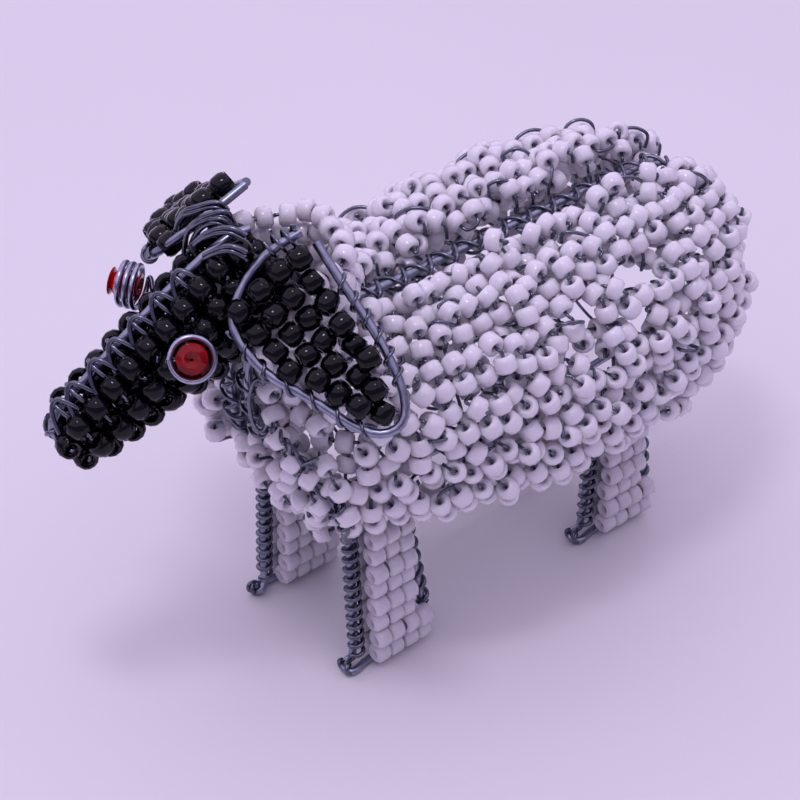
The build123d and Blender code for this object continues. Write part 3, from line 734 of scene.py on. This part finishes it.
class SHEEP_OT_fleece(bpy.types.Operator):
    """String the white beads of the body and the neck, with their threads"""
    bl_idname = "sheep.fleece"
    bl_label = "Fleece"

    def execute(self, context):
        chance = random.Random(11)
        wire = thread_metal()
        everything = []
        for node in FLEECE:
            places = loosened(bead_places(node), chance)
            string_beads(node, places, white_glass(), "white_bead", chance, 0.07)
            everything += places
        inner = inner_places(everything, chance)
        string_beads("inner_curls", inner, white_glass(), "white_bead", chance, 0.07)
        everything += inner
        runs = thread_runs(everything, chance, body_inwards)
        lay_wire("fleece_threads", runs, sizes().binding_wire, wire, "thin_wire", fine=1, placed=True)
        lay_wire("fleece_loops", proud_loops(chance), 1.1 * sizes().binding_wire,
                 thin_metal(), "thin_wire", placed=True)
        return {"FINISHED"}


class SHEEP_OT_leg_beads(bpy.types.Operator):
    """String the rows of white beads on both faces of each leg"""
    bl_idname = "sheep.leg_beads"
    bl_label = "Leg beads"

    def execute(self, context):
        chance = random.Random(5)
        for name in LEGS:
            node = f"{name}_leg_beads"
            places = loosened(bead_places(node), chance, 0.08, 0.05)
            # The leg beads take a copy of the white glass at 0.84 of its colour: painted shade, darker
            # than the same glass on the body
            string_beads(node, places, white_glass("painted_shade_leg_glass", 0.84), "white_bead", chance,
                         0.04, longer=1.04)
        return {"FINISHED"}


class SHEEP_OT_head_beads(bpy.types.Operator):
    """String the black rings of the head and its nose"""
    bl_idname = "sheep.head_beads"
    bl_label = "Head beads"

    def execute(self, context):
        chance = random.Random(3)
        places = loosened(bead_places("head_beads"), chance, 0.06, 0.08)
        string_beads("head_beads", places, black_glass(), "black_bead", chance, 0.03,
                     longer=1.12, wider=1.07, corner=0.8, segments=2)
        inner = filled([centre for centre, _, _ in places], chance, 900, 2.4,
                       lambda: head_point(chance.uniform(1, 31), chance.uniform(2.2, 8.5),
                                          chance.uniform(-3.6, 3.6)))
        string_beads("inner_rings", inner, black_glass(), "black_bead", chance, 0.03,
                     corner=0.8, segments=2)
        runs = thread_runs(places, chance, head_inwards, 2.0)
        lay_wire("head_threads", runs, sizes().binding_wire, thread_metal(),
                 "thin_wire", fine=1, placed=True)
        return {"FINISHED"}


class SHEEP_OT_ears(bpy.types.Operator):
    """String the black rows across each ear and bend its loop of wire"""
    bl_idname = "sheep.ears"
    bl_label = "Ears"

    def execute(self, context):
        chance = random.Random(9)
        shape = sizes()
        heavy = heavy_metal()
        thin = thin_metal()
        for name, side in SIDES.items():
            node = f"{name}_ear_beads"
            out, back = ear_ways(side)
            middle = ear_point(side, 0, 0) + MIDDLE
            places = [(centre + (0.13 * np.dot(centre - middle, back) - 0.3) * back, along, across)
                      for centre, along, across in bead_places(node)]
            places.append((ear_point(side, 0.03, -0.66) + MIDDLE, back, out))
            places = loosened(places, chance, 0.12, 0.16)
            string_beads(node, places, black_glass(), "black_bead", chance, 0.03,
                         longer=1.12, corner=0.75, segments=2)
            loop = [ear_point(side, *share) for share in ear_loop_shares]
            lay_wire(f"{name}_ear_loop", [loop], shape.frame_wire, heavy, "heavy_wire",
                     f"{name}_ear_wire", fine=4)
            across = (1.0, 0, 0)
            runs = [wound(loop[3:10], 6, across, 0.05, 0.95, 0.95)]
            if side > 0:
                runs += [wound(loop[11:14], 6, across, 0.05, 0.95, 0.95),
                         wound(loop[0:2], 3, across, 0.1, 0.9, 1.35)]
            lay_wire(f"{name}_ear_turns", runs, shape.binding_wire, thin, "thin_wire",
                     f"{name}_ear_lashing", fine=3)
        return {"FINISHED"}


class SHEEP_OT_eyes(bpy.types.Operator):
    """Model the red eye beads and the coils that ring them"""
    bl_idname = "sheep.eyes"
    bl_label = "Eyes"

    def execute(self, context):
        shape = sizes()
        thin = thin_metal()
        for name, (left, fore, rise) in eye_shares.items():
            low, high = (np.array(corner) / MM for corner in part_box(f"{name}_eye_bead"))
            centre = (low + high) / 2
            axis = unit(left * left_way + fore * fore_way + rise * up_way)
            first = unit(np.cross(axis, up_way))
            second = np.cross(axis, first)
            bead = model_bead(f"{name}_eye_glass", eye_diameter, eye_length, eye_bore,
                              eye_steps, eye_corner, 8)
            turn = Matrix(np.stack([first, second, axis], axis=1).tolist())
            bead.data.transform(Matrix.Translation(Vector(centre) * MM) @ turn.to_4x4())
            finish_piece(bead, red_glass(), "red_bead", f"{name}_eye_bead")
            middle = centre - coil_back * axis
            coil = []
            for k in range(coil_turns * coil_steps + 1):
                angle = 2 * math.pi * k / coil_steps
                around = math.cos(angle) * first + math.sin(angle) * second
                ahead = (k / coil_steps - coil_turns / 2) * coil_pitch
                coil.append(middle + coil_radius * around + ahead * axis)
            tail = [coil[0] - 0.8 * axis - first, coil[0] - 1.6 * axis - 3 * first]
            # The eye coils take a copy of the wire colour 1.5 times as light: painted highlight,
            # lighter than the same thin wire elsewhere
            lay_wire(f"{name}_eye_ring", [tail[::-1] + coil], 1.5 * shape.binding_wire,
                     wire_metal("painted_highlight_eye_metal", 1.5), "thin_wire", f"{name}_eye_coil", fine=4, placed=True)
        return {"FINISHED"}


class SHEEP_OT_frame_wires(bpy.types.Operator):
    """Bend the heavy wires of the body, the legs and the head"""
    bl_idname = "sheep.frame_wires"
    bl_label = "Frame wires"

    def execute(self, context):
        shape = sizes()
        heavy = heavy_metal()
        routes = {"spine_wire": body_route(spine_shares), "tail_wire": body_route(tail_shares),
                  "belly_wire": body_route(belly_shares),
                  "left_chest_wire": body_route(chest_shares),
                  "right_chest_wire": body_route(chest_shares, -1),
                  "head_ridge_wire": ridge_route(), "head_jaw_wire": jaw_route()}
        for name, leg in LEGS.items():
            routes[f"{name}_leg_wire"] = leg_routes(*leg)[1]
        for name, route in routes.items():
            lay_wire(name.replace("_wire", "_rod"), [route], shape.frame_wire, heavy,
                     "heavy_wire", name, fine=4)
        return {"FINISHED"}


class SHEEP_OT_bindings(bpy.types.Operator):
    """Wind the thin wire round the heavy wires and lay the ties inside the fleece"""
    bl_idname = "sheep.bindings"
    bl_label = "Bindings"

    def execute(self, context):
        shape = sizes()
        thin = thin_metal()
        across = (1.0, 0, 0)
        spine = body_route(spine_shares)
        near = FRAME_WIRE / 2 + BINDING_WIRE / 2 + 0.02
        runs = [wound(spine[2:], 13, across, 0.06, 0.97, near, oval=1.75),
                wound(spine[2:], 13, across, 0.06, 0.97, near + 0.2, hand=-1, turn_shift=0.5,
                      oval=1.7)]
        lay_wire("spine_turns", runs, 1.15 * shape.binding_wire, thin, "thin_wire",
                 "spine_lashing", fine=3)
        tail = body_route(tail_shares)
        lay_wire("tail_turns", [wound(tail[1:5], 4, across, 0.1, 0.9, near)], shape.binding_wire,
                 thin, "thin_wire", "tail_lashing")
        for name, side in SIDES.items():
            chest = body_route(chest_shares, side)
            runs = [wound(chest, 7, across, 0.12, 0.97, near, oval=1.3),
                    wound(chest, 7, across, 0.1, 0.97, near + 0.2, hand=-1, turn_shift=0.5,
                          oval=1.5)]
            if side > 0:
                runs += chest_strands()
            lay_wire(f"{name}_chest_turns", runs, 1.15 * shape.binding_wire, thin, "thin_wire",
                     f"{name}_chest_lashing", fine=3)
        for name, leg in LEGS.items():
            side, toe_y, lean = leg
            shin, whole = leg_routes(*leg)
            toe = [point for point in whole if point[2] < 1.5 and point[1] < toe_y + 0.5]
            runs = [wound(shin, 13, across, 0.08, 0.98, near + 0.12, oval=1.15),
                    wound(whole[-2:], 7, across, 0.1, 0.9, near),
                    wound([(x, y, z + 0.55) for x, y, z in toe], 2, across, 0.2, 0.8, near - 0.1)]
            lay_wire(f"{name}_leg_turns", runs, 1.4 * shape.binding_wire, thin, "thin_wire",
                     f"{name}_leg_lashing", fine=3)
        ridge = ridge_route()
        strands = [wound(ridge[2:], 3, left_way, 0.1, 0.9, near)] + ridge_loops() + crown_arcs()
        lay_wire("head_turns", strands, 1.35 * shape.binding_wire, thin, "thin_wire",
                 "head_lashing", fine=3)
        for name, share in tie_shares.items():
            lay_wire(f"{name}_loop", [tie_route(share)], shape.binding_wire, thin, "thin_wire",
                     f"{name}_tie")
        return {"FINISHED"}


# Floor, lights and camera, in metres and watts, with the camera's aim in the sheep's own frame
floor_size = 4.0
view_azimuth = math.radians(50.2)
view_elevation = math.radians(36.8)
view_aim = (0, 17.6, 34.0)
view_distance = 0.3
view_lens = 93.15
sky_colour = (0.70, 0.57, 1.0, 1)
sky_strength = 0.34
key_size = (4.5, 4.5)
key_power = 50.0
key_colour = (0.88, 0.774, 1.0)
glint_size = (0.08, 0.05)
glint_power = 0.30
glint_colour = (0.88, 0.82, 1.0)


def area_light(name, at, aim, size, power, colour):
    data = bpy.data.lights.new(name, "AREA")
    data.shape = "RECTANGLE"
    data.size, data.size_y = size
    data.energy = power
    data.color = colour
    lamp = bpy.data.objects.new(name, data)
    bpy.context.collection.objects.link(lamp)
    lamp.location = at
    lamp.rotation_euler = (Vector(aim) - Vector(at)).to_track_quat("-Z", "Y").to_euler()


class SHEEP_OT_stage(bpy.types.Operator):
    """Lay the floor, hang the lights and set the camera at the photograph's angle"""
    bl_idname = "sheep.stage"
    bl_label = "Stage"

    def execute(self, context):
        deselect()
        bpy.ops.mesh.primitive_plane_add(size=floor_size, location=(0, 0, 0))
        floor = bpy.context.object
        floor.name = "floor"
        material = bpy.data.materials.new("floor")
        material.use_nodes = True
        nodes, links = material.node_tree.nodes, material.node_tree.links
        principled = nodes["Principled BSDF"]
        principled.inputs["Base Color"].default_value = (*colours().floor, 1)
        principled.inputs["Roughness"].default_value = 0.7
        principled.inputs["Specular IOR Level"].default_value = 0.15
        mottle(principled, nodes, links, colours().floor, 0.985, 9)
        grain = nodes.new("ShaderNodeTexNoise")
        grain.inputs["Scale"].default_value = 900
        coordinates = nodes.new("ShaderNodeTexCoord")
        bump = nodes.new("ShaderNodeBump")
        bump.inputs["Strength"].default_value = 0.05
        bump.inputs["Distance"].default_value = 0.0005
        links.new(coordinates.outputs["Object"], grain.inputs["Vector"])
        links.new(grain.outputs["Fac"], bump.inputs["Height"])
        links.new(bump.outputs["Normal"], principled.inputs["Normal"])
        floor.data.materials.append(material)

        world = context.scene.world or bpy.data.worlds.new("studio")
        context.scene.world = world
        world.use_nodes = True
        background = world.node_tree.nodes["Background"]
        background.inputs["Color"].default_value = sky_colour
        background.inputs["Strength"].default_value = sky_strength

        level = math.cos(view_elevation)
        back = Vector((math.sin(view_azimuth) * level, -math.cos(view_azimuth) * level,
                       math.sin(view_elevation)))
        target = Vector(place(view_aim))
        camera_data = bpy.data.cameras.new("camera")
        camera = bpy.data.objects.new("camera", camera_data)
        context.collection.objects.link(camera)
        camera_data.sensor_width = 36.0
        camera_data.lens = view_lens
        camera_data.clip_start = 0.01
        camera.location = target + back * view_distance
        camera.rotation_euler = (-back).to_track_quat("-Z", "Y").to_euler()
        context.scene.camera = camera

        right = Vector((math.cos(view_azimuth), math.sin(view_azimuth), 0))
        up = back.cross(right)
        away = Vector((-back.x, -back.y, 0)).normalized()
        area_light("key", target + away * 0.25 - right * 0.15 + Vector((0, 0, 1.1)), target,
                   key_size, key_power, key_colour)
        area_light("glint", target + back * 0.33 + up * 0.26 - right * 0.05, target,
                   glint_size, glint_power, glint_colour)
        context.scene.view_settings.view_transform = "Standard"
        return {"FINISHED"}


class SHEEP_PT_panel(bpy.types.Panel):
    """Buttons that build the sheep and its stage"""
    bl_idname = "SHEEP_PT_panel"
    bl_label = "Beaded Wire Sheep"
    bl_space_type = "VIEW_3D"
    bl_region_type = "UI"
    bl_category = "Sheep"

    def draw(self, context):
        for group in (context.scene.sheep_sizes, context.scene.sheep_colours):
            for name in group.__annotations__:
                self.layout.prop(group, name)
        for operator in OPERATORS:
            self.layout.operator(operator.bl_idname)


OPERATORS = (SHEEP_OT_stage, SHEEP_OT_fleece, SHEEP_OT_leg_beads, SHEEP_OT_head_beads,
             SHEEP_OT_ears, SHEEP_OT_eyes, SHEEP_OT_frame_wires, SHEEP_OT_bindings)
CLASSES = (SheepSizes, SheepColours, *OPERATORS, SHEEP_PT_panel)


def register():
    for cls in CLASSES:
        bpy.utils.register_class(cls)
    bpy.types.Scene.sheep_sizes = PointerProperty(type=SheepSizes)
    bpy.types.Scene.sheep_colours = PointerProperty(type=SheepColours)


def unregister():
    del bpy.types.Scene.sheep_colours
    del bpy.types.Scene.sheep_sizes
    for cls in reversed(CLASSES):
        bpy.utils.unregister_class(cls)


def main():
    register()
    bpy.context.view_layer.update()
    bpy.ops.sheep.stage()
    bpy.ops.sheep.fleece()
    bpy.ops.sheep.leg_beads()
    bpy.ops.sheep.head_beads()
    bpy.ops.sheep.ears()
    bpy.ops.sheep.eyes()
    bpy.ops.sheep.frame_wires()
    bpy.ops.sheep.bindings()


if __name__ == "__main__":
    main()
